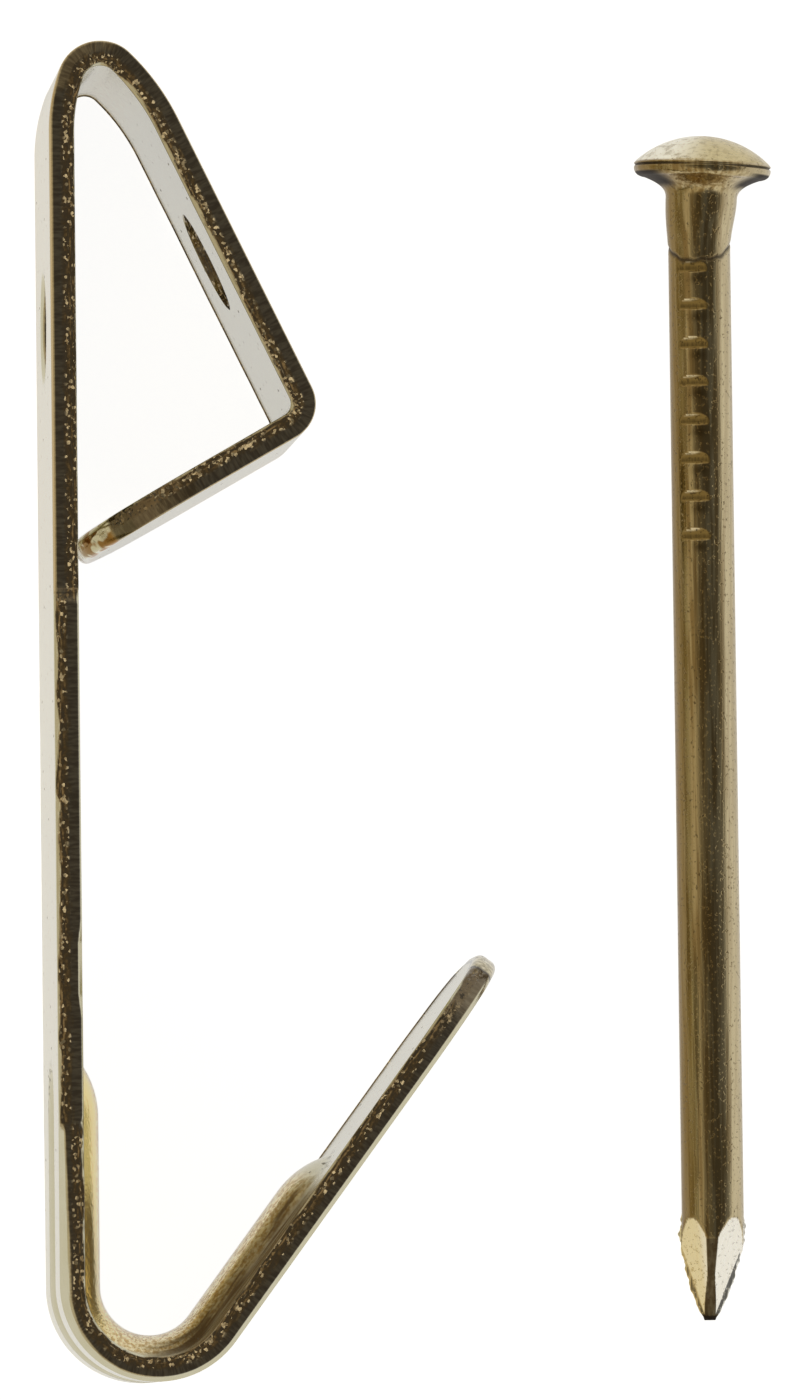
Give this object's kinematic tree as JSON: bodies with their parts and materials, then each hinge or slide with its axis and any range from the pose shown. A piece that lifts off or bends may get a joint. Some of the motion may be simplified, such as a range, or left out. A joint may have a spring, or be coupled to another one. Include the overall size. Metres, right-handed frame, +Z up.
{
  "type": "picture hook",
  "caption": "Picture hook folded from one strip of brass-plated steel, with a nail guide at the top and a ribbed J-shaped arm, lying beside its nail.",
  "frame": {"origin": "middle of the pair's footprint on the table that it lies on", "axes": "+Y along the hook's back towards its top fold, +X from the wall side of the back towards the arm and the nail, +Z up, across the width of the strip"},
  "size_m": [0.0284, 0.0508, 0.012],
  "materials": {
    "plated_strip": "bright brass plating on sheared steel strip",
    "plated_nail": "bright brass plating on a drawn steel nail"
  },
  "bodies": {
    "root": {"hook": "plated_strip", "nail": "plated_nail"}
  },
  "joints": []
}
